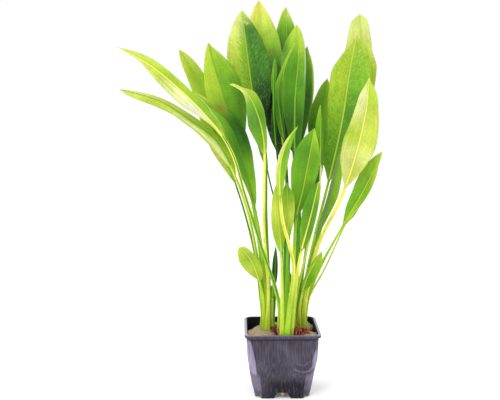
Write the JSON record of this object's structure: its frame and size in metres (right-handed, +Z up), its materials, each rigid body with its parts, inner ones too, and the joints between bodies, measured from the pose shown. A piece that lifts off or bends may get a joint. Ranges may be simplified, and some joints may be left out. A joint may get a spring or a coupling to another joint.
{
  "type": "amazon sword plant",
  "caption": "Potted amazon sword plant: tall lance-shaped leaves on long stalks, rising from sand in a thin black square nursery pot.",
  "frame": {"origin": "centre of the whole plant's footprint, on the surface that the pot stands on", "axes": "+Z up, +X to the picture's right, +Y away from the picture's viewer"},
  "size_m": [0.3036, 0.175, 0.475],
  "materials": {
    "pot": "thin moulded black plastic, softly shiny",
    "soil": "beige sand",
    "crown": "yellow-brown rootstock",
    "leaf": "living leaf, satin, with a pale rib"
  },
  "bodies": {
    "root": {"pot": "pot", "soil": "soil", "crown_left": "crown", "crown_centre": "crown", "crown_right": "crown", "leaf_front_low_left": "leaf", "leaf_left_curled": "leaf", "leaf_left_low": "leaf", "leaf_left_behind": "leaf", "leaf_left_broad": "leaf", "leaf_left_tall": "leaf", "leaf_small_left": "leaf", "leaf_small_back": "leaf", "leaf_back_left": "leaf", "leaf_front_narrow": "leaf", "leaf_front_left": "leaf", "leaf_left_long": "leaf", "leaf_front_right": "leaf", "leaf_front_pale": "leaf", "leaf_front_broad": "leaf", "leaf_small_centre": "leaf", "leaf_left_shade": "leaf", "leaf_back_slim_left": "leaf", "leaf_back_slim_right": "leaf", "leaf_back_peak": "leaf", "leaf_right_slim": "leaf", "leaf_small_right": "leaf", "leaf_right_folded": "leaf", "leaf_right_pale": "leaf", "leaf_right_low": "leaf", "leaf_right_low_behind": "leaf", "leaf_right_broad": "leaf", "leaf_right_peak": "leaf", "leaf_right_shade": "leaf", "leaf_back_centre": "leaf", "leaf_back_right": "leaf", "leaf_back_high": "leaf"}
  },
  "joints": []
}
